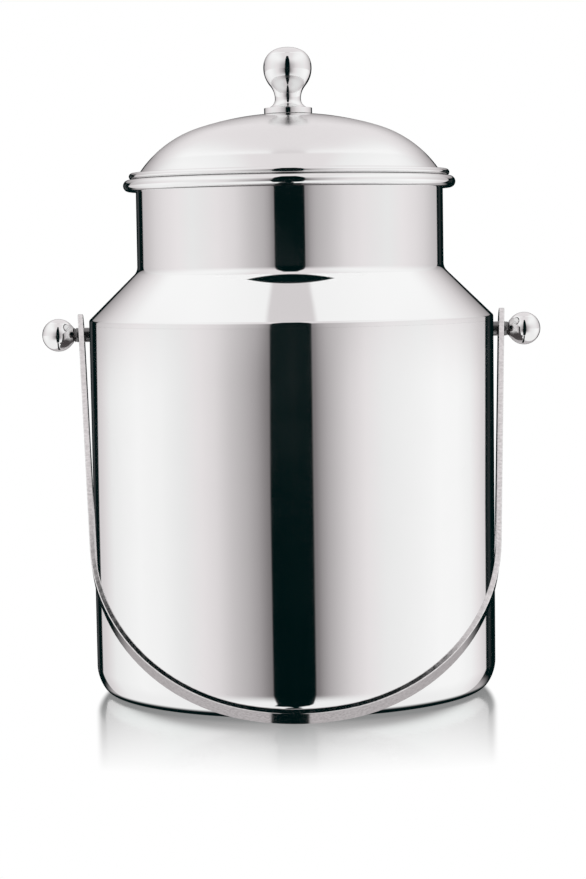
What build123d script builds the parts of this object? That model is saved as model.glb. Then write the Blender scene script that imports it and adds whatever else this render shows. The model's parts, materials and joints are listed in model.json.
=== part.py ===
from build123d import *

import os
from math import acos, asin, atan2, cos, degrees, radians, sin, sqrt

# A double-walled stainless-steel milk can with a lift-off lid and a swing handle.
# Frame: origin on the axis at the underside of the base, +Z up, -Y to the front, where the handle
# hangs, and X along the handle's pivots. Millimetres.

# Driving dimensions: the can
BODY_R = 90.0  # wall radius at the shoulder edge
BODY_FOOT_R = 89.5  # wall radius where the base corner starts
BASE_RISE = 11.0  # height where it starts
BASE_FLAT_R = 84.0  # radius where it ends on the table
BASE_FULLNESS = 0.45  # how square the corner is; 0.55 is a plain ellipse
SHOULDER_Z = 165.2  # height of the shoulder edge
SHOULDER_EDGE_R = 1.5  # rounding of that edge
SEAM_Z = 163.0  # weld between body and shoulder, just under the edge
NECK_R = 68.2
NECK_FOOT_Z = 186.5  # where the shoulder cone meets the neck
NECK_FILLET_R = 5.0
GAUGE = 0.8  # sheet thickness of shell, liner and lid dome
LINER_R = 65.7  # inside radius of the liner, which is the mouth
LINER_CORNER_R = 12.0
LINER_FLOOR_Z = 9.8  # top of the liner's floor
RIM_Z = 227.0  # top of the rolled rim
RIM_R = 73.8  # outside radius of the rolled rim
RIM_HEIGHT = 5.2
MOUTH_EASE_R = 1.6  # rounding where the liner turns out into the rim
BASE_FLANGE_R = 66.0  # inner edge of the body's turned-in base
PLATE_R = 74.0  # base plate, whose edge is welded on top of that flange
PLATE_STEP_R = 63.0  # where the plate steps down to lie flush with the flange

# Driving dimensions: the handle and its pivots
PIVOT_Z = 158.7
STUD_R = 3.2
BALL_R = 7.25
BALL_X = 104.0  # ball centre from the can's axis
STRAP_WIDTH = 11.0
STRAP_THICK = 2.3
STRAP_HALF_SPAN = 94.8  # outside of the strap at the pivots
STRAP_LEAN = 4.0  # degrees, each leg closing towards the bottom
STRAP_CORNER_R = 82.0
STRAP_BOTTOM_R = 110.0
STRAP_DROP = 187.3  # from the pivots to the outside of the strap's bottom
STRAP_TAIL = 4.4  # from the pivot to the centre of the strap's round end
STRAP_TILT = 34.0  # degrees from vertical at rest, with the bottom on the table
STRAP_EASE = 0.35  # rounding of the strap's long edges
HINGE_CLEARANCE = 0.07  # radial, strap on stud

# Driving dimensions: the lid
DOME_TOP_Z = 255.75
DOME_CROWN_R = 133.2  # radius of the dome's flat crown
DOME_SIDE_R = 50.3  # tighter radius of the dome's sides
DOME_BREAK_R = 40.3  # distance from the axis where one becomes the other
FLANGE_Z = 228.9  # top of the lid's flange, at the foot of the dome
LID_EDGE_R = 71.2  # outside radius of the lid's rolled edge
LID_BEAD_R = 1.45
PLUG_R = 64.2
PLUG_Z = 216.0  # underside of the plug
PAN_GAUGE = 0.6
KNOB_FOOT_R = 10.65
KNOB_FOOT_Z = 255.42
KNOB_FOOT_TOP_Z = 258.0
KNOB_NECK_R = 5.75
KNOB_NECK_Z = 262.0
KNOB_R = 10.72
KNOB_WIDEST_Z = 275.6
KNOB_TOP_Z = 284.8
KNOB_LOWER_R = 12.3  # radius of the bulb below its widest point
KNOB_FULLNESS = 0.62  # how square the bulb's top is; 0.55 is a plain ellipse
SCREW_R = 2.5

# Small gap left between touching pieces, so that no two solids overlap.
TOUCH = 0.02


def spun(*edges):
    """Turn a closed outline, drawn as distance from the axis and height, about the can's axis."""
    return revolve(Plane.XZ * make_face(Wire.combine(edges, tol=1e-4)[0]), Axis.Z)


def turned(*corners):
    """Turn a solid piece whose outline is straight between corners."""
    return spun(*Polyline(*corners, close=True).edges())


def pressed(outline, gauge, side):
    """Spin a sheet pressing: an open outline thickened to one side."""
    sheet = offset(outline, amount=gauge, side=side, kind=Kind.INTERSECTION)
    return spun(*sheet.edges())


def along_x(piece, side):
    """Stand a piece that was made about Z along X at the pivot height, on side +1 or -1."""
    return Pos(0, 0, PIVOT_Z) * Rot(0, 90 * side, 0) * piece


def write(name, *pieces):
    """Write one node; several pieces in it are separate solids."""
    node = pieces[0] if len(pieces) == 1 else Compound(children=list(pieces))
    export_step(node, f"parts/{name}.step")


# The can


def stud_hole(side):
    """Round hole through the wall for a pivot stud."""
    return along_x(Pos(0, 0, BODY_R) * Cylinder(STUD_R, 20), side)


def base_corner(drop):
    """The wall's lower corner moved in by drop, from the table up to where the wall is straight."""
    foot_r = BODY_FOOT_R - drop
    along = BASE_FLAT_R + BASE_FULLNESS * (foot_r - BASE_FLAT_R)
    up = BASE_RISE - BASE_FULLNESS * (BASE_RISE - drop)
    return Bezier((BASE_FLAT_R, drop), (along, drop), (foot_r, up), (foot_r, BASE_RISE))


def body_shell():
    """Drawn wall with a rounded base corner and a turned-in flange, open in the middle."""
    outer, inner = base_corner(0), base_corner(GAUGE)
    top = SEAM_Z - TOUCH
    wall_edges = Polyline(outer @ 1, (BODY_R, top), (BODY_R - GAUGE, top), inner @ 1)
    flange_edges = Polyline(inner @ 0, (BASE_FLANGE_R, GAUGE), (BASE_FLANGE_R, 0), outer @ 0)
    wall = spun(*outer.edges(), *wall_edges.edges(), *inner.edges(), *flange_edges.edges())
    return wall - stud_hole(1) - stud_hole(-1)


def shoulder_neck():
    """Spun cone and neck. Its foot is butt-welded to the body; its top ends inside the rim roll."""
    neck_top = RIM_Z - GAUGE - 0.5
    points = [(BODY_R, SEAM_Z), (BODY_R, SHOULDER_Z), (NECK_R, NECK_FOOT_Z), (NECK_R, neck_top)]
    outline = FilletPolyline(*points, radius=[SHOULDER_EDGE_R, NECK_FILLET_R])
    return pressed(outline, GAUGE, Side.LEFT)


def base_plate():
    """Disc that closes the body from below: flush in the middle, its edge on top of the flange."""
    step = GAUGE + TOUCH
    points = [(0, 0), (PLATE_STEP_R, 0), (PLATE_STEP_R + 2 * step, step), (PLATE_R, step)]
    return pressed(Polyline(*points), GAUGE, Side.LEFT)


def inner_liner():
    """Straight-sided liner, with its lip rolled out and down over the top of the neck."""
    roll = RIM_HEIGHT / 2
    points = [
        (0, LINER_FLOOR_Z),
        (LINER_R, LINER_FLOOR_Z),
        (LINER_R, RIM_Z),
        (RIM_R, RIM_Z),
        (RIM_R, RIM_Z - RIM_HEIGHT),
        (NECK_R + TOUCH, RIM_Z - RIM_HEIGHT),
    ]
    corner = roll - 0.01
    outline = FilletPolyline(*points, radius=[LINER_CORNER_R, MOUTH_EASE_R, corner, corner])
    return pressed(outline, GAUGE, Side.RIGHT)


# The handle's pivots


def pivot_stud():
    """Screwed rod, plain where the strap turns, with thread grooves where it is bare."""
    start, end = 79.5, BALL_X - 0.8
    groove, pitch = 0.25, 0.8
    rod = Pos(0, 0, (start + end) / 2) * Cylinder(STUD_R, end - start)
    rod = chamfer(rod.edges(), 0.4)
    bare_start, bare_end = 95.6, BALL_X - sqrt(BALL_R**2 - 25) - 1.4
    count = int((bare_end - bare_start) / pitch)
    for turn in range(count + 1):
        z = bare_start + turn * pitch
        rod -= turned((STUD_R - groove, z), (STUD_R + 1, z + 0.9), (STUD_R + 1, z - 0.9))
    return rod


def ball_end():
    """Ball nut, cut flat on the inner side, with a short cone down to the stud and a blind hole."""
    flat_r = 5.0
    flat_z = BALL_X - sqrt(BALL_R**2 - flat_r**2)
    cone = 1.4
    side_of_ball = ThreePointArc((flat_r, flat_z), (BALL_R, BALL_X), (0, BALL_X + BALL_R))
    back = Polyline(
        (0, BALL_X + BALL_R),
        (0, BALL_X),
        (STUD_R, BALL_X),
        (STUD_R, flat_z - cone),
        (STUD_R + 0.3, flat_z - cone),
        (flat_r, flat_z),
    )
    return spun(*side_of_ball.edges(), *back.edges())


def backing_plate(side):
    """Saddle plate behind the wall, spot-welded round the stud."""
    thick, width = 1.5, 28.0
    low, high = PIVOT_Z - 9, SEAM_Z + 0.6
    wall_in = BODY_R - GAUGE - 0.06
    ring = Cylinder(wall_in, high - low) - Cylinder(wall_in - thick, high - low)
    window = Pos(side * BODY_R, 0, 0) * Box(40, width, high - low)
    window = fillet(window.edges().filter_by(Axis.X), 4)
    return Pos(0, 0, (low + high) / 2) * (ring & window) - stud_hole(side)


def washer_and_nut(side):
    """Flat washer and hexagon nut that pull the stud tight from inside the cavity."""
    seat = 87.35
    washer_thick, nut_thick, across_flats = 1.2, 5.0, 10.0
    washer = Cylinder(6, washer_thick) - Cylinder(STUD_R, washer_thick)
    washer = Pos(0, 0, seat - washer_thick / 2) * washer
    hexagon = RegularPolygon(across_flats / 2, 6, major_radius=False, rotation=30)
    nut = extrude(hexagon - Circle(STUD_R), nut_thick)
    nut &= Pos(0, 0, nut_thick / 2) * chamfer(Cylinder(across_flats / sqrt(3), nut_thick).edges(), 0.7)
    nut = Pos(0, 0, seat - washer_thick - TOUCH - nut_thick) * nut
    return along_x(washer, side), along_x(nut, side)


# The handle


def strap_outline(inset):
    """The strap's outline in its own plane, moved in by inset: pivots at y 0, bottom below.

    Each leg is straight and leans in, and meets a corner arc, which meets the bottom arc.
    """
    corner_r, bottom_r = STRAP_CORNER_R - inset, STRAP_BOTTOM_R - inset
    lean = radians(STRAP_LEAN)
    down = Vector(-sin(lean), -cos(lean))
    outwards = Vector(cos(lean), -sin(lean))
    bottom_centre = Vector(0, STRAP_BOTTOM_R - STRAP_DROP)
    start = Vector(STRAP_HALF_SPAN, 0) - outwards * STRAP_CORNER_R
    reach = start - bottom_centre
    along = reach.dot(down)
    gap = STRAP_BOTTOM_R - STRAP_CORNER_R
    run = -along + sqrt(along**2 - reach.dot(reach) + gap**2)
    corner_centre = start + down * run
    leg_foot = corner_centre + outwards * corner_r
    leg_top = leg_foot - down * (run + STRAP_WIDTH)
    join_way = (corner_centre - bottom_centre).normalized()
    join = bottom_centre + join_way * bottom_r
    middle = corner_centre + (outwards + join_way).normalized() * corner_r
    bottom = bottom_centre - Vector(0, bottom_r)
    leg = Line(leg_top, leg_foot)
    corner = ThreePointArc(leg_foot, middle, join)
    half = [leg, corner]
    floor = ThreePointArc(join, bottom, Vector(-join.X, join.Y))
    return [*half, floor, *(mirror(line, about=Plane.YZ) for line in half)], leg_top


def bail_handle():
    """Flat strip bent into a U, with round ends drilled for the studs, tilted to its rest."""
    outer, outer_top = strap_outline(0)
    inner, inner_top = strap_outline(STRAP_THICK)
    end = Line(outer_top, inner_top)
    outline = Wire.combine([*outer, *inner, end, mirror(end, about=Plane.YZ)], tol=1e-4)[0]
    strip = extrude(make_face(outline), STRAP_WIDTH / 2, both=True)
    side_view = Pos(0, STRAP_TAIL) * Circle(STRAP_WIDTH / 2)
    side_view += Pos(0, STRAP_TAIL - STRAP_DROP) * Rectangle(STRAP_WIDTH, 2 * STRAP_DROP)
    strip &= extrude(Plane.ZY * side_view, BODY_R * 2, both=True)
    edges = strip.edges().filter_by(lambda e: abs(abs(e.center().Z) - STRAP_WIDTH / 2) < 0.01)
    strip = fillet(edges, STRAP_EASE)
    strip -= Rot(0, 90, 0) * Cylinder(STUD_R + HINGE_CLEARANCE, BODY_R * 3)
    return Pos(0, 0, PIVOT_Z) * Rot(90 - STRAP_TILT, 0, 0) * strip


# The lid


def dome_height(r):
    """Height of the dome's crown at a distance from the axis."""
    return DOME_TOP_Z - DOME_CROWN_R + sqrt(DOME_CROWN_R**2 - r**2)


def dome_curve(drop):
    """The dome's outline moved in by drop, from the axis to the height of the flange."""
    crown_r, side_r = DOME_CROWN_R - drop, DOME_SIDE_R - drop
    crown_centre = Vector(0, DOME_TOP_Z - DOME_CROWN_R)
    break_angle = asin(DOME_BREAK_R / DOME_CROWN_R)
    way = Vector(sin(break_angle), cos(break_angle))
    side_centre = crown_centre + way * (DOME_CROWN_R - DOME_SIDE_R)
    foot_angle = acos((FLANGE_Z - drop - side_centre.Y) / side_r)
    crown_middle = Vector(sin(break_angle / 2), cos(break_angle / 2))
    mid_angle = (break_angle + foot_angle) / 2
    crown = ThreePointArc(
        crown_centre + Vector(0, crown_r),
        crown_centre + crown_middle * crown_r,
        crown_centre + way * crown_r,
    )
    side = ThreePointArc(
        crown_centre + way * crown_r,
        side_centre + Vector(sin(mid_angle), cos(mid_angle)) * side_r,
        side_centre + Vector(sin(foot_angle), cos(foot_angle)) * side_r,
    )
    return crown, side


def lid_dome():
    """Domed skin with a narrow flange and a small solid-rolled edge, drilled for the screw."""
    outer_crown, outer_side = dome_curve(0)
    inner_crown, inner_side = dome_curve(GAUGE)
    bead_centre_r = LID_EDGE_R - LID_BEAD_R
    bead_z = RIM_Z + 0.05 + LID_BEAD_R
    flange_low = FLANGE_Z - GAUGE
    flange = Polyline(outer_side @ 1, (bead_centre_r, FLANGE_Z), (bead_centre_r, flange_low), inner_side @ 1)
    screw_hole = SCREW_R + 0.1
    skin = spun(
        *outer_crown.edges(),
        *outer_side.edges(),
        *flange.edges(),
        *inner_side.edges(),
        *inner_crown.edges(),
        Edge.make_line(inner_crown @ 0, outer_crown @ 0),
    )
    bead = Torus(bead_centre_r, LID_BEAD_R)
    return skin + Pos(0, 0, bead_z) * bead - Pos(0, 0, DOME_TOP_Z) * Cylinder(screw_hole, 10)


def lid_pan():
    """Inner skin of the lid: a shallow plug with a flange that meets the dome's flange."""
    flange_low = RIM_Z + 0.45
    points = [(0, PLUG_Z), (PLUG_R, PLUG_Z), (PLUG_R, flange_low), (PLUG_R + 3.6, flange_low)]
    outline = FilletPolyline(*points, radius=[4, 0.8])
    return pressed(outline, PAN_GAUGE, Side.LEFT)


def lid_gasket():
    """Soft ring of L section: one leg on the rim, one round the plug."""
    bore = PLUG_R + TOUCH
    top = RIM_Z + 0.45 - TOUCH
    low = RIM_Z + TOUCH
    seal_r = LINER_R - 0.15
    cut = 0.55 * MOUTH_EASE_R
    return turned(
        (bore + 0.8, top),
        (PLUG_R + 3.2, top),
        (PLUG_R + 3.2, low),
        (LINER_R + cut, low),
        (seal_r, low - cut - 0.15),
        (seal_r, low - 6),
        (bore, low - 6.6),
        (bore, top - 0.85),
    )


def lid_knob():
    """Turned knob: round foot, flared neck and a bulb, with a shallow recess and a blind hole."""
    flare = KNOB_NECK_Z - KNOB_FOOT_TOP_Z
    rise, swell = KNOB_WIDEST_Z - KNOB_NECK_Z, KNOB_R - KNOB_NECK_R
    turn = 2 * atan2(swell, rise)
    hollow_r = rise / sin(turn) - KNOB_LOWER_R
    edge, ease = KNOB_FOOT_R, 0.25
    foot = Polyline(
        (edge - ease, KNOB_FOOT_Z),
        (edge, KNOB_FOOT_Z + ease),
        (edge, KNOB_FOOT_TOP_Z - ease),
        (edge - ease, KNOB_FOOT_TOP_Z),
        (KNOB_NECK_R + flare, KNOB_FOOT_TOP_Z),
    )
    neck = CenterArc((KNOB_NECK_R + flare, KNOB_NECK_Z), flare, 180, 90)
    hollow = CenterArc((KNOB_NECK_R + hollow_r, KNOB_NECK_Z), hollow_r, 180 - degrees(turn), degrees(turn))
    bulb = CenterArc((KNOB_R - KNOB_LOWER_R, KNOB_WIDEST_Z), KNOB_LOWER_R, -degrees(turn), degrees(turn))
    shoulder_z = KNOB_WIDEST_Z + KNOB_FULLNESS * (KNOB_TOP_Z - KNOB_WIDEST_Z)
    crown_r = KNOB_FULLNESS * KNOB_R
    cap = Bezier((KNOB_R, KNOB_WIDEST_Z), (KNOB_R, shoulder_z), (crown_r, KNOB_TOP_Z), (0, KNOB_TOP_Z))
    recess = KNOB_FOOT_Z + 0.75
    hole_top = KNOB_NECK_Z + 4
    inside = Polyline(
        (0, KNOB_TOP_Z),
        (0, hole_top),
        (SCREW_R, hole_top),
        (SCREW_R, recess),
        (KNOB_FOOT_R - 0.8, recess),
        (KNOB_FOOT_R - 0.8, KNOB_FOOT_Z),
        (edge - ease, KNOB_FOOT_Z),
    )
    lines = [foot, neck, hollow, bulb, cap, inside]
    return spun(*(edge for line in lines for edge in line.edges()))


def knob_seal():
    """Thin soft washer that fills the recess under the knob and follows the dome."""
    inner, outer, top = SCREW_R + 0.3, KNOB_FOOT_R - 0.8 - TOUCH, KNOB_FOOT_Z + 0.75 - TOUCH
    return turned(
        (inner, dome_height(inner) + TOUCH),
        (inner, top),
        (outer, top),
        (outer, dome_height(outer) + 2 * TOUCH),
    )


def knob_fastening():
    """Screw, split lock washer and flat washer that pull the knob down from inside the lid."""
    flat_thick, lock_thick, head_thick, head_r = 1.0, 1.2, 3.5, 4.25
    flat_r, lock_r = 7.5, 4.6
    under_dome = DOME_TOP_Z - GAUGE - flat_r**2 / (2 * (DOME_CROWN_R - GAUGE)) - TOUCH
    flat_low = under_dome - flat_thick
    lock_low = flat_low - TOUCH - lock_thick
    head_top = lock_low - TOUCH
    bore = Pos(0, 0, DOME_TOP_Z) * Cylinder(SCREW_R + 0.15, 20)
    flat = Pos(0, 0, flat_low + flat_thick / 2) * Cylinder(flat_r, flat_thick) - bore
    lock = Pos(0, 0, lock_low + lock_thick / 2) * Cylinder(lock_r, lock_thick) - bore
    lock -= Pos(lock_r, 0, lock_low) * Rot(25, 0, 0) * Box(2 * lock_r, 0.7, 4 * lock_thick)
    length = KNOB_NECK_Z + 2.5 - head_top
    head = Pos(0, 0, head_top - head_thick / 2) * Cylinder(head_r, head_thick)
    head = fillet(head.edges().sort_by(Axis.Z)[0], 0.8)
    screw = head + Pos(0, 0, head_top + length / 2) * Cylinder(SCREW_R, length)
    socket = extrude(RegularPolygon(2, 6, major_radius=False), 2.2)
    screw -= Pos(0, 0, head_top - head_thick) * socket
    return flat, lock, screw


os.makedirs("parts", exist_ok=True)

write("body_shell", body_shell())
write("shoulder_neck", shoulder_neck())
write("base_plate", base_plate())
write("inner_liner", inner_liner())

washers, nuts = [], []
for name, side in (("left", -1), ("right", 1)):
    write(f"{name}_pivot_stud", along_x(pivot_stud(), side))
    write(f"{name}_ball_end", along_x(ball_end(), side))
    write(f"{name}_backing_plate", backing_plate(side))
    washer, nut = washer_and_nut(side)
    washers.append(washer)
    nuts.append(nut)
write("pivot_washers", *washers)
write("pivot_nuts", *nuts)
write("bail_handle", bail_handle())

write("lid_dome", lid_dome())
write("lid_pan", lid_pan())
write("lid_gasket", lid_gasket())
write("lid_knob", lid_knob())
write("knob_seal", knob_seal())
flat_washer, lock_washer, screw = knob_fastening()
write("knob_washer", flat_washer)
write("knob_lock_washer", lock_washer)
write("knob_screw", screw)
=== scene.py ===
"""Looks for the milk can: polished pieces, a studio that mirrors well in them, floor and camera.

Metres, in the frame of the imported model: origin on the can's axis at the table, -Y to the front.
"""

import json
from math import acos, asin, atan2, cos, degrees, pi, radians, sin, sqrt, tan

import bmesh
import bpy
from mathutils import Matrix, Vector


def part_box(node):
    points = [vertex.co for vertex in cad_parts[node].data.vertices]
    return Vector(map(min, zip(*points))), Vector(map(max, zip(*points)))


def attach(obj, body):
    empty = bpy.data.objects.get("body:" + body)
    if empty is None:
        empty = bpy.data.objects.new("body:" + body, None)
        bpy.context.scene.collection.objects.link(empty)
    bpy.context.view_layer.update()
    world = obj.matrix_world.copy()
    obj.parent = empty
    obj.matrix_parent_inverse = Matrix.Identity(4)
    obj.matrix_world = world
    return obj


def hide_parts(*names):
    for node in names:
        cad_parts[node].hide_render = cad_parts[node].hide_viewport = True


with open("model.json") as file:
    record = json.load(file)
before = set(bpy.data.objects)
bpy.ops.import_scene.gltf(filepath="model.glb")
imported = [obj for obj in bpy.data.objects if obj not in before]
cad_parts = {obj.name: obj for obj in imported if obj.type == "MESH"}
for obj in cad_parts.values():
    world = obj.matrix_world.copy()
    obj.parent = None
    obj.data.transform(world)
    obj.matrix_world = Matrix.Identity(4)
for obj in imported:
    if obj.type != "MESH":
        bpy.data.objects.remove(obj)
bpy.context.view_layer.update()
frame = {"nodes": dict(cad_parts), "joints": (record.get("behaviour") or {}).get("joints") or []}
MM = 0.001

# Sizes that the boxes of the nodes don't give
GAUGE = 0.8 * MM
TOUCH = 0.02 * MM
BASE_FLAT_R = 84 * MM
BASE_CORNER_RISE = 11 * MM
BASE_FLANGE_R = 66 * MM
WALL_TAPER = 0.5 * MM
SHOULDER_EDGE_R = 1.5 * MM
SHOULDER_EDGE_Z = 165.2 * MM
NECK_R = 68.2 * MM
NECK_FOOT_Z = 186.5 * MM
NECK_FILLET_R = 5 * MM
MOUTH_R = 65.7 * MM
MOUTH_EASE_R = 1.6 * MM
LINER_CORNER_R = 12 * MM
RIM_HEIGHT = 5.2 * MM
LID_FLANGE_Z = 228.9 * MM
LID_BEAD_R = 1.45 * MM
KNOB_SCREW_HOLE_R = 2.6 * MM
STUD_R = 3.2 * MM
THREAD_START_X = 95.4 * MM
THREAD_PITCH = 1.0 * MM
THREAD_DEPTH = 0.45 * MM

# Sizes from the frame
shell_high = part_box("body_shell")[1]
neck_low, neck_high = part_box("shoulder_neck")
liner_low, liner_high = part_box("inner_liner")
dome_low, dome_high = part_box("lid_dome")
knob_low, knob_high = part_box("lid_knob")
stud_low, stud_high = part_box("right_pivot_stud")
ball_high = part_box("right_ball_end")[1]
PIVOT = Vector(frame["joints"][0]["pos_m"])


# Mesh helpers


def angles(steps):
    """Angles in radians of evenly spaced spokes, once round."""
    return [2 * pi * i / steps for i in range(steps)]


def arc(centre, radius, start, end, steps):
    """Points on an arc in the outline plane, angles in degrees from the outline's first axis."""
    turn = [radians(start + (end - start) * i / steps) for i in range(steps + 1)]
    return [(centre[0] + radius * cos(a), centre[1] + radius * sin(a)) for a in turn]


def rounded(points, radii, steps=14):
    """An open outline with the corners between its ends rounded to the given radii."""
    outline = [points[0]]
    for before, corner, after, radius in zip(points, points[1:], points[2:], radii):
        corner = Vector(corner)
        back = (Vector(before) - corner).normalized()
        ahead = (Vector(after) - corner).normalized()
        half = back.angle(ahead) / 2
        centre = corner + (back + ahead).normalized() * (radius / sin(half))
        first = corner + back * (radius / tan(half)) - centre
        last = corner + ahead * (radius / tan(half)) - centre
        sweep = first.angle_signed(last)
        for i in range(steps + 1):
            spoke = Matrix.Rotation(-sweep * i / steps, 2) @ first
            outline.append(tuple(centre + spoke))
    outline.append(points[-1])
    return outline


def thickened(outline, gauge):
    """A closed loop: the outline and, back again, its copy moved to the left by gauge."""
    moved = []
    for i, point in enumerate(outline):
        before = outline[max(i - 1, 0)]
        after = outline[min(i + 1, len(outline) - 1)]
        ways = []
        for a, b in ((before, point), (point, after)):
            step = Vector(b) - Vector(a)
            if step.length > 0:
                ways.append(Vector((-step.y, step.x)).normalized())
        left = sum(ways, Vector((0, 0))).normalized()
        moved.append(tuple(Vector(point) + left * (gauge / left.dot(ways[0]))))
    return outline + moved[::-1]


def finish_mesh(name, mesh, body, finish, replaced):
    """Link a new mesh as a piece that rides on a body, with weighted normals for clean mirroring."""
    sharpest_smooth_edge = radians(32)
    piece = bpy.data.objects.new(name, mesh)
    bpy.context.scene.collection.objects.link(piece)
    mesh.materials.append(finish)
    for face in mesh.polygons:
        face.use_smooth = True
    mesh.set_sharp_from_angle(angle=sharpest_smooth_edge)
    normals = piece.modifiers.new("even_normals", "WEIGHTED_NORMAL")
    normals.keep_sharp = True
    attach(piece, body)
    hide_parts(replaced)


def stored(name, made, axis_frame):
    """Turn the faces of a closed mesh outwards, put it in place and store it."""
    bmesh.ops.recalc_face_normals(made, faces=made.faces)
    made.transform(axis_frame)
    mesh = bpy.data.meshes.new(name)
    made.to_mesh(mesh)
    made.free()
    return mesh


def lathe(name, loop, steps=320, axis_frame=Matrix.Identity(4)):
    """Turn a closed loop of (distance from axis, height) points into a mesh of quads."""
    made = bmesh.new()
    on_axis = 1e-7
    rings = []
    for r, z in loop:
        if r < on_axis:
            rings.append([made.verts.new((0, 0, z))])
            continue
        rings.append([made.verts.new((r * cos(a), r * sin(a), z)) for a in angles(steps)])
    for low, high in zip(rings, rings[1:] + rings[:1]):
        if len(low) == len(high) == 1:
            continue
        for i in range(steps):
            j = (i + 1) % steps
            corners = [low[i % len(low)], low[j % len(low)], high[j % len(high)], high[i % len(high)]]
            made.faces.new(dict.fromkeys(corners))
    return stored(name, made, axis_frame)


# Shader helpers


class Graph:
    """Short calls for building a node tree."""

    def __init__(self, tree):
        self.tree = tree
        tree.nodes.clear()

    def node(self, kind, inputs=None, **settings):
        made = self.tree.nodes.new(kind)
        for name, value in settings.items():
            setattr(made, name, value)
        for name, value in (inputs or {}).items():
            self.feed(made.inputs[name], value)
        return made

    def feed(self, socket, value):
        if isinstance(value, bpy.types.Node):
            value = value.outputs[0]
        if isinstance(value, bpy.types.NodeSocket):
            self.tree.links.new(value, socket)
        else:
            socket.default_value = value

    def math(self, operation, *values):
        return self.node("ShaderNodeMath", dict(enumerate(values)), operation=operation)

    def product(self, first, *others):
        for other in others:
            first = self.math("MULTIPLY", first, other)
        return first

    def vector(self, operation, *values):
        return self.node("ShaderNodeVectorMath", dict(enumerate(values)), operation=operation)

    def length(self, vector):
        return self.vector("LENGTH", vector).outputs["Value"]

    def level(self, vector):
        """The part of a vector that is level with the table."""
        return self.vector("MULTIPLY", vector, (1.0, 1.0, 0.0))

    def split(self, vector):
        return self.node("ShaderNodeSeparateXYZ", {0: vector}).outputs

    def join(self, x, y, z):
        return self.node("ShaderNodeCombineXYZ", {0: x, 1: y, 2: z})

    def span(self, value, low, high, to_low=0.0, to_high=1.0, kind="SMOOTHSTEP"):
        """Go from to_low to to_high while the value goes from low to high, and stay level beyond."""
        inputs = {"Value": value, "From Min": low, "From Max": high, "To Min": to_low, "To Max": to_high}
        return self.node("ShaderNodeMapRange", inputs, interpolation_type=kind)

    def noise(self, vector, scale, detail):
        inputs = {"Vector": vector, "Scale": scale, "Detail": detail}
        return self.node("ShaderNodeTexNoise", inputs).outputs["Fac"]

    def bump(self, height, strength=1.0, distance=1.0):
        return self.node("ShaderNodeBump", {"Strength": strength, "Distance": distance, "Height": height})

    def blend(self, share, first, second):
        """Mix two surfaces."""
        return self.node("ShaderNodeMixShader", {0: share, 1: first, 2: second})

    def mix(self, factor, first, second):
        """Mix two colours."""
        made = self.node("ShaderNodeMix", data_type="RGBA")
        self.feed(made.inputs[0], factor)
        self.feed(made.inputs[6], first)
        self.feed(made.inputs[7], second)
        return made.outputs[2]

    def ramp(self, factor, stops):
        """Colour ramp through (position, colour) stops."""
        made = self.node("ShaderNodeValToRGB", {0: factor})
        points = made.color_ramp.elements
        while len(points) < len(stops):
            points.new(1.0)
        for point, (position, colour) in zip(points, stops):
            point.position = position
            point.color = colour
        return made.outputs[0]


STEEL = 0.81  # share of light that polished steel gives back
WHITE = (1.0, 1.0, 1.0, 1.0)
# DARK is also the colour of the painted dark lens in the shoulder's mirror and of the painted shade on the
# table under the can, seen in mirrors.
DARK = (0.0004, 0.0065, 0.0068, 1.0)  # black cloth, a little green


def mirrored(level):
    """Light that shows on screen as this share of full white when it is seen in polished steel.

    Greys come out a little warm, whites neutral. The formula is the screen's own gamma curve.
    """
    whitish, warmth = 0.9, 0.016
    offset, gamma = 0.055, 2.4
    warm = warmth if level < whitish else 0.0
    channels = (level + warm, level, level + warm / 4)
    return tuple(((c + offset) / (1 + offset)) ** gamma / STEEL for c in channels) + (1.0,)


def material(name):
    made = bpy.data.materials.new(name)
    made.use_nodes = True
    return made, Graph(made.node_tree)


def ray_start(g):
    """Where the ray that sees a point started: its distance from the can's axis, and its height."""
    geometry = g.node("ShaderNodeNewGeometry").outputs
    back = g.vector("SCALE", geometry["Incoming"])
    g.feed(back.inputs["Scale"], g.node("ShaderNodeLightPath").outputs["Ray Length"])
    start = g.vector("ADD", geometry["Position"], back)
    return g.length(g.level(start)), g.split(start)["Z"]


def clear_to_can(g, surface):
    """Keep a piece's image out of the can's wall: mirror rays that start there pass through it.

    Most of those that start on the table pass through it too, so its image there is faint. A ray
    that has passed through one piece passes through the next as well.
    """
    wall_margin, table_margin = 1.5 * MM, 0.5 * MM
    hidden_from_table = 0.85
    start_r, start_z = ray_start(g)
    seen = g.node("ShaderNodeLightPath").outputs
    from_can = g.math("LESS_THAN", start_r, shell_high.x + wall_margin)
    from_table = g.math("LESS_THAN", start_z, table_margin)
    hidden = g.math("MAXIMUM", from_can, g.product(from_table, hidden_from_table))
    passed_one = g.math("GREATER_THAN", seen["Transparent Depth"], 0.5)
    hidden = g.product(seen["Is Glossy Ray"], g.math("MAXIMUM", hidden, passed_one))
    return g.blend(hidden, surface, g.node("ShaderNodeBsdfTransparent"))


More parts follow.
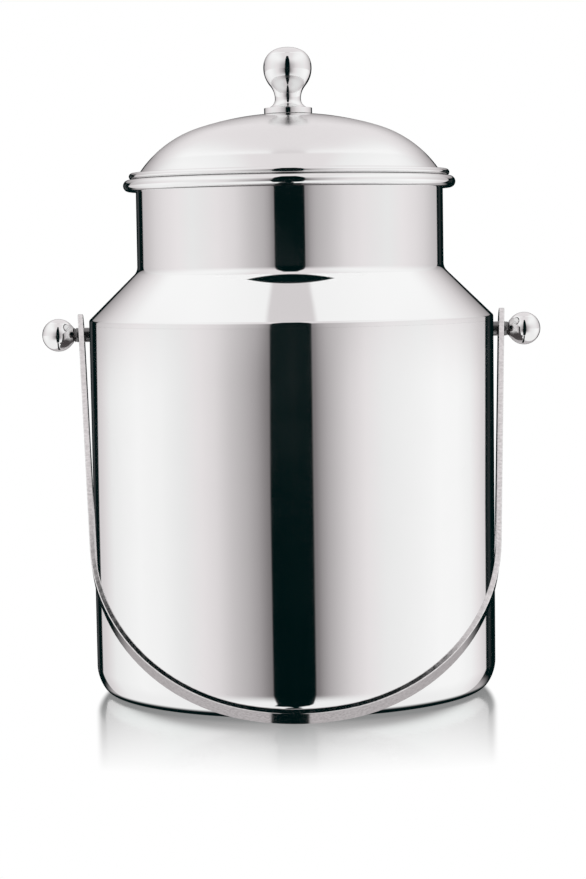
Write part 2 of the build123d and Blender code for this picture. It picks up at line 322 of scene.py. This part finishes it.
def painted_lens_in_shoulder(g, surface):
    """Paint a reflection: the shoulder's mirror shows rim and lid only as a small dark lens below the neck,
    a painted reflection that their own surfaces draw; other mirror rays from the shoulder pass through
    them.

    The lens is an eye shape, by the place on the shoulder and by how far the ray leans from upright.
    """
    cone_foot_z, cone_top_z, cone_top_r = 150 * MM, 190 * MM, 69 * MM
    lens_r, lens_half, widest_lean = 71.7 * MM, 1.9 * MM, 0.27
    start_r, start_z = ray_start(g)
    lean = g.length(g.level(g.node("ShaderNodeNewGeometry").outputs["Incoming"]))
    off_middle = g.math("DIVIDE", g.math("ABSOLUTE", g.math("SUBTRACT", start_r, lens_r)), lens_half)
    eye = g.math("ADD", off_middle, g.math("POWER", g.math("DIVIDE", lean, widest_lean), 2.0))
    # The painted reflection: a dark glow where the lens lies.
    dark = g.node("ShaderNodeEmission", {0: DARK})
    image = g.blend(g.span(eye, 0.85, 1.1), dark, g.node("ShaderNodeBsdfTransparent"))
    low = g.math("LESS_THAN", start_z, cone_top_z)
    high = g.math("GREATER_THAN", start_z, cone_foot_z)
    outside = g.math("GREATER_THAN", start_r, cone_top_r)
    glossy = g.node("ShaderNodeLightPath").outputs["Is Glossy Ray"]
    return g.blend(g.product(glossy, low, outside, high), surface, image)


NOISE_LOW, NOISE_HIGH = 0.3, 0.7  # nearly all of a noise texture lies between these

# Distances from the axis where haze starts, is full, fades and has ended
DOME_SLOPE = (20 * MM, 34 * MM, 60 * MM, 63 * MM)
INSIDE = (-2 * MM, -1 * MM, 65.9 * MM, 67 * MM)  # from the axis on, since it starts below zero


def steel(name, share, roughness, lay_depth=0.0, ripple=0.0, haze=0.0, hazy=DOME_SLOPE, wrap=None):
    """Bare stainless steel, polished or satin, with a fine turned lay round the can's axis.

    Haze adds roughness between the distances from the axis in hazy, where the mirror is less sharp.
    wrap is a function that changes how mirror rays see the surface.
    """
    lay_scale, wave_scale, cloud_scale = 2500, 22, 60
    lay_per_radian = 0.0015
    darkest, smoothest, roughest = 0.985, 0.85, 1.15
    made, g = material(name)
    place = g.node("ShaderNodeTexCoord").outputs["Object"]
    x, y, z = g.split(place)
    radius = g.math("SQRT", g.math("ADD", g.product(x, x), g.product(y, y)))
    around = g.math("ARCTAN2", y, x)
    lay = g.noise(g.join(radius, z, g.product(around, lay_per_radian)), lay_scale, detail=3)
    waves = g.noise(place, wave_scale, detail=1)
    clouds = g.noise(place, cloud_scale, detail=3)
    near, full, fading, far = hazy
    in_haze = g.product(g.span(radius, near, full), g.span(radius, fading, far, 1.0, 0.0))
    rough = g.span(clouds, NOISE_LOW, NOISE_HIGH, roughness * smoothest, roughness * roughest)
    dull = (share * darkest, share * darkest, share * darkest, 1.0)
    inputs = {
        "Base Color": g.mix(clouds, dull, (share, share, share, 1.0)),
        "Metallic": 1.0,
        "Roughness": g.math("MULTIPLY_ADD", in_haze, haze, rough),
        "Normal": g.bump(g.math("ADD", g.product(lay, lay_depth), g.product(waves, ripple))),
    }
    surface = g.node("ShaderNodeBsdfPrincipled", inputs)
    if wrap:
        surface = wrap(g, surface)
    g.node("ShaderNodeOutputMaterial", {"Surface": surface})
    return made


def rolled_strip(name):
    """Cold-rolled strip, polished, with fine specks and faint streaks along its length."""
    across_stretch, along_stretch = 12.0, 0.6
    streak_scale, streak_height = 90, 2e-6
    speck_scale, speck_height = 800, 6e-7
    dark_grain, pale_grain = (0.60, 0.59, 0.59, 1.0), (0.80, 0.79, 0.79, 1.0)
    smoothest, roughest = 0.05, 0.08
    made, g = material(name)
    place = g.node("ShaderNodeTexCoord").outputs["Object"]
    x, y, z = g.split(g.vector("SUBTRACT", place, tuple(PIVOT)))
    reach = g.math("SQRT", g.math("ADD", g.product(y, y), g.product(z, z)))
    across = g.product(g.math("ARCTAN2", y, z), across_stretch)
    along = g.product(g.math("ARCTAN2", x, reach), along_stretch)
    streaks = g.noise(g.join(across, along, 0.0), streak_scale, detail=4)
    specks = g.noise(place, speck_scale, detail=3)
    grain = g.math("MULTIPLY_ADD", streaks, 0.5, g.product(specks, 0.5))
    inputs = {
        "Base Color": g.mix(g.span(grain, 0.35, 0.65), dark_grain, pale_grain),
        "Metallic": 1.0,
        "Roughness": g.span(streaks, NOISE_LOW, NOISE_HIGH, smoothest, roughest),
        "Normal": g.bump(g.math("ADD", g.product(streaks, streak_height), g.product(specks, speck_height))),
    }
    surface = clear_to_can(g, g.node("ShaderNodeBsdfPrincipled", inputs))
    g.node("ShaderNodeOutputMaterial", {"Surface": surface})
    return made


def soft(name, colour, roughness, see_through=0.0):
    """Rubber or silicone with a faint mould texture."""
    grain_scale, grain_strength, grain_depth = 1500, 0.3, 0.2 * MM
    darkest = 0.9
    made, g = material(name)
    grain = g.noise(g.node("ShaderNodeTexCoord").outputs["Object"], grain_scale, detail=2)
    inputs = {
        "Base Color": g.mix(grain, tuple(c * darkest for c in colour) + (1,), tuple(colour) + (1,)),
        "Roughness": roughness,
        "Normal": g.bump(grain, grain_strength, grain_depth),
        "Subsurface Weight": see_through,
        "Subsurface Radius": (2 * MM, 2 * MM, 2 * MM),
    }
    surface = g.node("ShaderNodeBsdfPrincipled", inputs)
    g.node("ShaderNodeOutputMaterial", {"Surface": surface})
    return made


polished = steel("polished_steel", STEEL, 0.05, ripple=2e-6)
# Rim and lid carry the painted dark lens that the shoulder mirrors.
polished_rim = steel("polished_rim", STEEL, 0.05, ripple=2e-6, haze=0.3, hazy=INSIDE, wrap=painted_lens_in_shoulder)
polished_lid = steel("polished_lid", STEEL, 0.07, ripple=2e-6, haze=0.14, wrap=painted_lens_in_shoulder)
polished_ball = steel("polished_ball", STEEL, 0.05, wrap=clear_to_can)
strap_steel = rolled_strip("strap_steel")
satin = steel("satin_steel", 0.70, 0.32, lay_depth=4e-6)
screw_steel = steel("screw_steel", 0.62, 0.22, lay_depth=2e-6)
# Painted shade: this steel is far darker than real steel, standing in for the shade in the thread and round
# the stud between strap and ball.
thread_steel_painted_dark = steel("thread_steel_painted_dark", 0.18, 0.2, wrap=clear_to_can)
silicone = soft("silicone", (0.82, 0.83, 0.80), 0.35, see_through=0.3)
dark_seal = soft("dark_seal", (0.02, 0.02, 0.022), 0.55)


# The can


def bezier(points, steps):
    """Points on a cubic curve, as (distance from axis, height)."""
    a, b, c, d = (Vector(p) for p in points)
    path = []
    for i in range(steps + 1):
        t = i / steps
        s = 1 - t
        path.append(tuple(a * s**3 + b * (3 * s * s * t) + c * (3 * s * t * t) + d * t**3))
    return path


def base_corner(drop):
    """The wall's lower corner moved in by drop, from the table up to where the wall is straight."""
    fullness = 0.45
    foot_r = shell_high.x - WALL_TAPER - drop
    along = BASE_FLAT_R + fullness * (foot_r - BASE_FLAT_R)
    up = BASE_CORNER_RISE - fullness * (BASE_CORNER_RISE - drop)
    return bezier([(BASE_FLAT_R, drop), (along, drop), (foot_r, up), (foot_r, BASE_CORNER_RISE)], steps=28)


def body_shell():
    """Drawn wall with a rounded base corner and a turned-in flange."""
    wall_top = [(shell_high.x, shell_high.z), (shell_high.x - GAUGE, shell_high.z)]
    flange_edge = [(BASE_FLANGE_R, GAUGE), (BASE_FLANGE_R, 0)]
    loop = base_corner(0) + wall_top + base_corner(GAUGE)[::-1] + flange_edge
    mesh = lathe("body_wall", loop)
    finish_mesh("body_wall", mesh, "can", polished, "body_shell")


def shoulder_neck():
    """Spun cone and neck."""
    cone = [(neck_high.x, neck_low.z), (neck_high.x, SHOULDER_EDGE_Z)]
    neck = [(NECK_R, NECK_FOOT_Z), (NECK_R, neck_high.z)]
    loop = thickened(rounded(cone + neck, [SHOULDER_EDGE_R, NECK_FILLET_R]), GAUGE)
    mesh = lathe("shoulder_and_neck", loop)
    finish_mesh("shoulder_and_neck", mesh, "can", polished, "shoulder_neck")


def inner_liner():
    """Straight-sided liner, with its lip rolled out and down over the top of the neck."""
    floor_z = liner_low.z + GAUGE
    lip_r = NECK_R + TOUCH
    rim_r, rim_z = liner_high.x, liner_high.z
    flat_between = 0.02 * MM
    corner = (RIM_HEIGHT - flat_between) / 2
    points = [
        (0, floor_z),
        (MOUTH_R, floor_z),
        (MOUTH_R, rim_z),
        (rim_r, rim_z),
        (rim_r, rim_z - RIM_HEIGHT),
        (lip_r, rim_z - RIM_HEIGHT),
    ]
    outline = rounded(points, [LINER_CORNER_R, MOUTH_EASE_R, corner, corner])
    mesh = lathe("liner_and_rim", thickened(outline, -GAUGE))
    finish_mesh("liner_and_rim", mesh, "can", polished_rim, "inner_liner")


# The lid


def dome_curve(drop):
    """The dome's outline moved in by drop, from the axis to the height of the flange."""
    crown_r, side_r, break_r = 133.2 * MM, 50.3 * MM, 40.3 * MM
    break_angle = asin(break_r / crown_r)
    crown_centre = Vector((0, dome_high.z - crown_r))
    side_centre = crown_centre + Vector((sin(break_angle), cos(break_angle))) * (crown_r - side_r)
    foot_angle = acos((LID_FLANGE_Z - drop - side_centre.y) / (side_r - drop))
    break_turn, foot_turn = 90 - degrees(break_angle), 90 - degrees(foot_angle)
    crown = arc(crown_centre, crown_r - drop, 90, break_turn, steps=20)
    side = arc(side_centre, side_r - drop, break_turn, foot_turn, steps=24)
    return crown + side[1:]


def lid_dome():
    """Domed skin, narrow flange and small solid-rolled edge, with a hole for the knob's screw."""
    bead = (dome_high.x - LID_BEAD_R, dome_low.z + LID_BEAD_R)
    rise = LID_FLANGE_Z - bead[1]
    meet = degrees(asin(rise / LID_BEAD_R))
    low_meet = degrees(asin((rise - GAUGE) / LID_BEAD_R))
    outer = dome_curve(0)
    edge = arc(bead, LID_BEAD_R, 180 - meet, -180 - low_meet, steps=28)
    inner = dome_curve(GAUGE)[::-1]
    low_edge, high_edge = (KNOB_SCREW_HOLE_R, inner[-1][1]), (KNOB_SCREW_HOLE_R, outer[0][1])
    skin = [point for point in outer + edge + inner if point[0] > KNOB_SCREW_HOLE_R]
    mesh = lathe("dome_skin", [high_edge] + skin + [low_edge])
    finish_mesh("dome_skin", mesh, "lid", polished_lid, "lid_dome")


def knob_bulb(neck_r, neck_z):
    """The knob's outline from the top of its flared neck round the bulb to the axis."""
    knob_r, widest_z, top_z = 10.72 * MM, 275.6 * MM, knob_high.z
    lower_r, fullness = 12.3 * MM, 0.62
    sweep = 2 * atan2(knob_r - neck_r, widest_z - neck_z)
    hollow_r = (widest_z - neck_z) / sin(sweep) - lower_r
    hollow = arc((neck_r + hollow_r, neck_z), hollow_r, 180, 180 - degrees(sweep), steps=12)
    lower = arc((knob_r - lower_r, widest_z), lower_r, -degrees(sweep), 0, steps=14)
    crown = [(knob_r, widest_z), (knob_r, widest_z + fullness * (top_z - widest_z))]
    crown += [(fullness * knob_r, top_z), (0, top_z)]
    return hollow[1:] + lower[1:] + bezier(crown, steps=24)[1:]


def lid_knob():
    """Turned knob: round foot, flared neck and a bulb, with a shallow recess under the foot."""
    foot_r, foot_z, foot_top = 10.65 * MM, knob_low.z, 258 * MM
    foot_wall, ease = 0.8 * MM, 0.25 * MM
    neck_r, neck_z = 5.75 * MM, 262 * MM
    recess_z = foot_z + 0.75 * MM
    bore_r, bore_top = 2.5 * MM, neck_z + 4 * MM
    flare = neck_z - foot_top
    foot_low = [(foot_r - foot_wall, foot_z), (foot_r, foot_z)]
    foot_high = [(foot_r, foot_top), (neck_r + flare, foot_top)]
    foot = rounded(foot_low + foot_high, [ease, ease], steps=5)
    neck = arc((neck_r + flare, neck_z), flare, 270, 180, steps=10)
    inside = [(0, bore_top), (bore_r, bore_top), (bore_r, recess_z), (foot_r - foot_wall, recess_z)]
    loop = foot + neck[1:] + knob_bulb(neck_r, neck_z) + inside
    mesh = lathe("turned_knob", loop, steps=128)
    finish_mesh("turned_knob", mesh, "lid", polished, "lid_knob")


# The pivots


def along_x(sign):
    """Frame whose Z runs outwards along X at the pivots, on the side of that sign."""
    return Matrix.Translation(PIVOT) @ Matrix.Rotation(sign * pi / 2, 4, "Y")


def ball_end(side, sign):
    """Ball nut with a flat inner side and a short cone."""
    ball_r, flat_r = 7.25 * MM, 5 * MM
    cone_height, cone_rim = 1.4 * MM, 0.3 * MM
    centre = ball_high.x - ball_r
    flat_z = centre - sqrt(ball_r**2 - flat_r**2)
    cone_z = flat_z - cone_height
    start = degrees(atan2(flat_z - centre, flat_r))
    loop = arc((0, centre), ball_r, start, 90, steps=40)
    loop += [(0, centre), (STUD_R, centre), (STUD_R, cone_z), (STUD_R + cone_rim, cone_z)]
    mesh = lathe(f"{side}_ball", loop, steps=96, axis_frame=along_x(sign))
    finish_mesh(f"{side}_ball", mesh, "can", polished_ball, f"{side}_ball_end")


def thread_radius(x, angle):
    """Distance of the thread's surface from the stud's axis; it starts shallow over the first turn."""
    turns = (x - THREAD_START_X) / THREAD_PITCH
    phase = (turns - angle / (2 * pi)) % 1.0
    return STUD_R - THREAD_DEPTH * min(1.0, turns) * abs(2 * phase - 1)


def threaded_stud(side, sign):
    """Screwed rod: plain where the strap turns, with a helical thread from there to the ball."""
    start, end = stud_low.x, stud_high.x
    chamfer = 0.4 * MM
    steps, rings_per_turn = 96, 10
    step = THREAD_PITCH / rings_per_turn
    made = bmesh.new()
    plain = [(STUD_R - chamfer, start), (STUD_R, start + chamfer), (STUD_R, THREAD_START_X - step)]
    rings = []
    for r, x in plain:
        rings.append([made.verts.new((r * cos(a), r * sin(a), x)) for a in angles(steps)])
    for i in range(int((end - THREAD_START_X) / step)):
        x = THREAD_START_X + step * i
        radii = [(thread_radius(x, a), a) for a in angles(steps)]
        rings.append([made.verts.new((r * cos(a), r * sin(a), x)) for r, a in radii])
    for low, high in zip(rings, rings[1:]):
        for i in range(steps):
            j = (i + 1) % steps
            made.faces.new((low[i], low[j], high[j], high[i]))
    made.faces.new(rings[0][::-1])
    made.faces.new(rings[-1])
    mesh = stored(f"{side}_stud", made, along_x(sign))
    finish_mesh(f"{side}_stud", mesh, "can", thread_steel_painted_dark, f"{side}_pivot_stud")


body_shell()
shoulder_neck()
inner_liner()
lid_dome()
lid_knob()
for side_name, side_sign in (("left", -1), ("right", 1)):
    ball_end(side_name, side_sign)
    threaded_stud(side_name, side_sign)

for node, finish in {
    "base_plate": satin,
    "left_backing_plate": satin,
    "right_backing_plate": satin,
    "pivot_washers": screw_steel,
    "pivot_nuts": screw_steel,
    "bail_handle": strap_steel,
    "lid_pan": satin,
    "lid_gasket": silicone,
    "knob_seal": dark_seal,
    "knob_washer": screw_steel,
    "knob_lock_washer": screw_steel,
    "knob_screw": screw_steel,
}.items():
    cad_mesh = frame["nodes"][node].data
    cad_mesh.materials.clear()
    cad_mesh.materials.append(finish)


# Studio


class Ways:
    """The direction that light comes from, as parts of it that turn with the camera.

    back, front and right are shares of a unit vector. turn and rise are degrees: turn goes round to the
    right from the way to the camera, rise goes up from level.
    """

    def __init__(self, g):
        x, y, z = g.split(g.node("ShaderNodeTexCoord").outputs["Generated"])
        settings = {"vector_type": "VECTOR", "convert_from": "CAMERA", "convert_to": "WORLD"}
        forward = g.node("ShaderNodeVectorTransform", {0: (0.0, 0.0, 1.0)}, **settings)
        forward_x, forward_y, _ = g.split(g.vector("NORMALIZE", g.level(forward)))
        self.back = g.math("MULTIPLY_ADD", x, forward_x, g.product(y, forward_y))
        self.right = g.math("MULTIPLY_ADD", x, forward_y, g.product(y, forward_x, -1.0))
        self.front = g.product(self.back, -1.0)
        self.turn = g.math("DEGREES", g.math("ARCTAN2", self.right, self.front))
        self.rise = g.math("DEGREES", g.math("ARCSINE", z))


def by_degrees(g, angle, lights):
    """Ramp through (degrees, light) stops, for angles from -180 to 180."""
    place = g.math("MULTIPLY_ADD", angle, 1 / 360, 0.5)
    return g.ramp(place, [(0.5 + stop / 360, light) for stop, light in lights])


def greys(*stops):
    """Stops for by_degrees from (degrees, screen level in polished steel)."""
    return [(stop, mirrored(level)) for stop, level in stops]


def curtains(g, way):
    """White curtains left and right, by turn: brightest to the sides, darker to the front and back.

    The body mirrors their lower part, the neck the part near eye level. Far down they turn into an
    even light, which is dark for rays that come by way of the table.
    """
    left = greys((-143, 0.79), (-137, 0.827), (-125, 0.908), (-113, 0.935), (-98, 0.957), (-80, 0.943))
    left += greys((-65, 0.906), (-53, 0.878), (-44, 0.84), (-35, 0.757), (-26, 0.68), (-20, 0.6))
    middle = greys((-15.5, 0.5), (-12, 0.42), (12, 0.45), (15, 0.565))
    right = greys((19, 0.655), (25, 0.74), (32, 0.82), (41, 0.878), (53, 0.914), (70, 0.937))
    right += greys((90, 0.965), (106, 0.962), (119, 0.933), (128, 0.875), (137, 0.81))
    lower = by_degrees(g, way.turn, left + middle + right)
    near = greys((12, 0.5), (15, 0.61), (19, 0.68), (29, 0.75), (41, 0.838), (55, 0.878))
    far = greys((77, 0.903), (92, 0.89), (107, 0.86), (119, 0.82), (131, 0.755), (145, 0.69))
    level = by_degrees(g, g.math("ABSOLUTE", way.turn), near + far)
    by_table = g.span(g.node("ShaderNodeLightPath").outputs["Ray Depth"], 2.4, 2.6)
    under = g.mix(by_table, mirrored(0.93), mirrored(0.3))
    light = g.mix(g.span(way.rise, -3.6, -1.0), lower, level)
    return g.mix(g.span(way.rise, -40.0, -15.0, 1.0, 0.0), light, under)


def overhead(g, way):
    """The curtains' upper part, with a darker strip along the middle where they meet.

    The shoulder's cone mirrors the arc where back is the square of the level part's length. The
    strip has sharp sides there, and soft ones elsewhere.
    """
    aside = g.math("DEGREES", g.math("ARCSINE", g.math("ABSOLUTE", way.right)))
    level_squared = g.math("MULTIPLY_ADD", way.back, way.back, g.product(way.right, way.right))
    off_cone = g.math("SUBTRACT", way.back, level_squared)
    strip_aside = g.math("ADD", aside, g.span(off_cone, -0.006, 0.016, -0.8, 0.1))
    on_cone = by_degrees(g, strip_aside, greys((6.3, 0.805), (6.7, 0.945), (25, 0.965)))
    elsewhere = by_degrees(g, aside, greys((10, 0.862), (17, 0.872), (26, 0.925), (38, 0.955)))
    return g.mix(g.span(g.math("ABSOLUTE", off_cone), 0.02, 0.06), on_cone, elsewhere)


def flags(g, way, edge):
    """Dark flags low behind the can, with a thin grey line in them, and grey above and below."""
    line_grey = (0.058, 0.063, 0.066, 1.0)
    left_line, right_line = 158.5, 152.0
    right_strength = 0.4
    below = [(-45, mirrored(0.7)), (-22, mirrored(0.64))]
    above = greys((9.5, 0.53), (17, 0.67), (25, 0.8), (32, 0.87), (45, 0.87))
    light = by_degrees(g, way.rise, below + [(-16, DARK), (8.5, DARK)] + above)
    line_at = g.span(way.turn, -90.0, 90.0, left_line, right_line)
    off_line = g.math("ABSOLUTE", g.math("SUBTRACT", edge, line_at))
    strength = g.span(way.turn, -90.0, 90.0, 1.0, right_strength)
    ends = g.product(g.span(way.rise, -12.0, -9.0), g.span(way.rise, 3.0, 6.0, 1.0, 0.0))
    line = g.product(g.span(off_line, 0.5, 6.0, 1.0, 0.0), strength, ends)
    return g.mix(line, light, line_grey)


def front_slot(g, way):
    """Share of the dark slot between the curtains in front of the can; it ends short of the zenith.

    It is narrower high up. Far down it goes on as a band with level sides, right under the can.
    """
    centre = g.span(way.rise, -6.0, 0.0, -1.1, -0.15, kind="LINEAR")
    centre = g.math("SUBTRACT", centre, g.span(way.rise, -50.0, -42.0, 3.5, 0.0))
    half = g.span(way.rise, -6.0, 0.0, 11.9, 11.15, kind="LINEAR")
    half = g.math("SUBTRACT", half, g.span(way.rise, 35.0, 60.0, 0.0, 3.0))
    to_front = g.product(way.front, g.span(way.rise, -53.0, -47.0))
    reach = g.math("MAXIMUM", to_front, g.span(way.rise, -54.0, -50.0, 0.3, 0.0))
    turn = g.math("DEGREES", g.math("ARCTAN2", way.right, g.math("MAXIMUM", reach, 0.001)))
    past = g.math("SUBTRACT", g.math("ABSOLUTE", g.math("SUBTRACT", turn, centre)), half)
    return g.product(g.span(past, -0.4, 0.4, 1.0, 0.0), g.span(way.rise, 60.0, 64.0, 1.0, 0.0))


def studio():
    """Light by direction, turned with the camera, as if the can stood on a turntable.

    White curtains left and right with a dark slot between them, in front, and dark flags low behind
    the can, which draw its outline. The camera and matt surfaces see plain white instead.
    """
    world = bpy.data.worlds.new("studio")
    bpy.context.scene.world = world
    world.use_nodes = True
    world.cycles.sampling_method = "NONE"
    g = Graph(world.node_tree)
    way = Ways(g)
    top = overhead(g, way)
    sides = g.mix(g.span(way.rise, 5.0, 45.0), curtains(g, way), top)
    edge_shift = g.span(way.rise, -6.0, 0.0, 4.0, 0.0, kind="LINEAR")
    edge = g.math("ABSOLUTE", g.math("ADD", way.turn, edge_shift))
    behind = g.mix(g.span(way.rise, 32.0, 45.0), flags(g, way, edge), top)
    flag_start = g.span(way.rise, -6.0, 0.0, 144.5, 143.5, kind="LINEAR")
    softness = g.span(way.rise, 8.0, 25.0, 0.9, 10.0)
    last_side = g.math("SUBTRACT", flag_start, softness)
    first_behind = g.math("ADD", flag_start, softness)
    around = g.mix(g.span(edge, last_side, first_behind), sides, behind)
    around = g.mix(front_slot(g, way), around, DARK)
    seen = g.node("ShaderNodeLightPath").outputs
    plain = g.math("MAXIMUM", seen["Is Camera Ray"], seen["Is Diffuse Ray"])
    background = g.node("ShaderNodeBackground", {0: g.mix(plain, around, WHITE)})
    g.node("ShaderNodeOutputWorld", {0: background})


def mirror_strength(g):
    """How much the table mirrors: within the can's outline, near its foot and at a low view only."""
    margin, corner_inset, softness = 1 * MM, 6 * MM, 3.5 * MM
    fade_start, fade_end, strongest = 90 * MM, 200 * MM, 0.75
    geometry = g.node("ShaderNodeNewGeometry").outputs
    place, to_eye = geometry["Position"], geometry["Incoming"]
    level_to_eye = g.level(to_eye)
    heading = g.vector("NORMALIZE", level_to_eye)
    miss = g.length(g.vector("CROSS_PRODUCT", place, heading))
    ahead = g.vector("DOT_PRODUCT", place, heading).outputs["Value"]
    rise = g.split(to_eye)["Z"]
    mirrored_z = g.product(ahead, g.math("DIVIDE", rise, g.length(level_to_eye)))
    in_corner = g.span(mirrored_z, 0.0, BASE_CORNER_RISE, 1.0, 0.0, kind="LINEAR")
    corner = g.product(in_corner, in_corner)
    outline = g.math("MULTIPLY_ADD", corner, -corner_inset, shell_high.x + margin)
    within = g.span(g.math("SUBTRACT", miss, outline), -softness, 0.0, 1.0, 0.0)
    fade = g.span(g.length(place), fade_start, fade_end, strongest, 0.0, kind="LINEAR")
    low_view = g.span(rise, 0.25, 0.75, 1.0, 0.0)
    return g.product(fade, g.product(within, low_view))


def pale_table():
    """Glossy pale table top, shaded under the can; in mirrors only the dark shade under it shows."""
    shaded_r, lit_r = 80 * MM, 86 * MM
    shade_r, shade_softness = shell_high.x - 3.5 * MM, 2 * MM
    made, g = material("pale_table")
    distance = g.length(g.node("ShaderNodeNewGeometry").outputs["Position"])
    white = g.node("ShaderNodeEmission", {0: WHITE})
    shaded = g.node("ShaderNodeBsdfDiffuse", {"Color": (1.0, 1.0, 0.995, 1.0)})
    base = g.blend(g.span(distance, shaded_r, lit_r), shaded, white)
    mirror = g.node("ShaderNodeBsdfGlossy", {"Color": (0.78, 0.81, 0.8, 1.0), "Roughness": 0.1})
    top = g.blend(mirror_strength(g), base, mirror)
    shade = g.node("ShaderNodeEmission", {0: DARK})
    clear = g.node("ShaderNodeBsdfTransparent")
    under_can = g.blend(g.span(distance, shade_r, shade_r + shade_softness), shade, clear)
    glossy = g.node("ShaderNodeLightPath").outputs["Is Glossy Ray"]
    g.node("ShaderNodeOutputMaterial", {"Surface": g.blend(glossy, top, under_can)})
    return made


def floor():
    """Table top, wide enough to fill the view."""
    reach = 6.0
    grid = bmesh.new()
    bmesh.ops.create_grid(grid, x_segments=8, y_segments=8, size=reach)
    mesh = bpy.data.meshes.new("table_top")
    grid.to_mesh(mesh)
    grid.free()
    mesh.materials.append(pale_table())
    table = bpy.data.objects.new("table_top", mesh)
    bpy.context.scene.collection.objects.link(table)


def camera():
    """Low front view, a little above the shoulder's height."""
    place = (-0.00798, -1.1119, 0.19436)
    heading, dip, roll = radians(-0.409), radians(4.319), radians(-0.875)
    focal_length = 101.86  # millimetres, as on a lens
    made = bpy.data.cameras.new("camera")
    made.lens = focal_length
    eye = bpy.data.objects.new("camera", made)
    bpy.context.scene.collection.objects.link(eye)
    aimed = Matrix.Rotation(heading, 4, "Z") @ Matrix.Rotation(pi / 2 - dip, 4, "X")
    eye.matrix_world = Matrix.Translation(place) @ (aimed @ Matrix.Rotation(roll, 4, "Z"))
    bpy.context.scene.camera = eye


studio()
floor()
camera()
bpy.context.scene.view_settings.view_transform = "Standard"
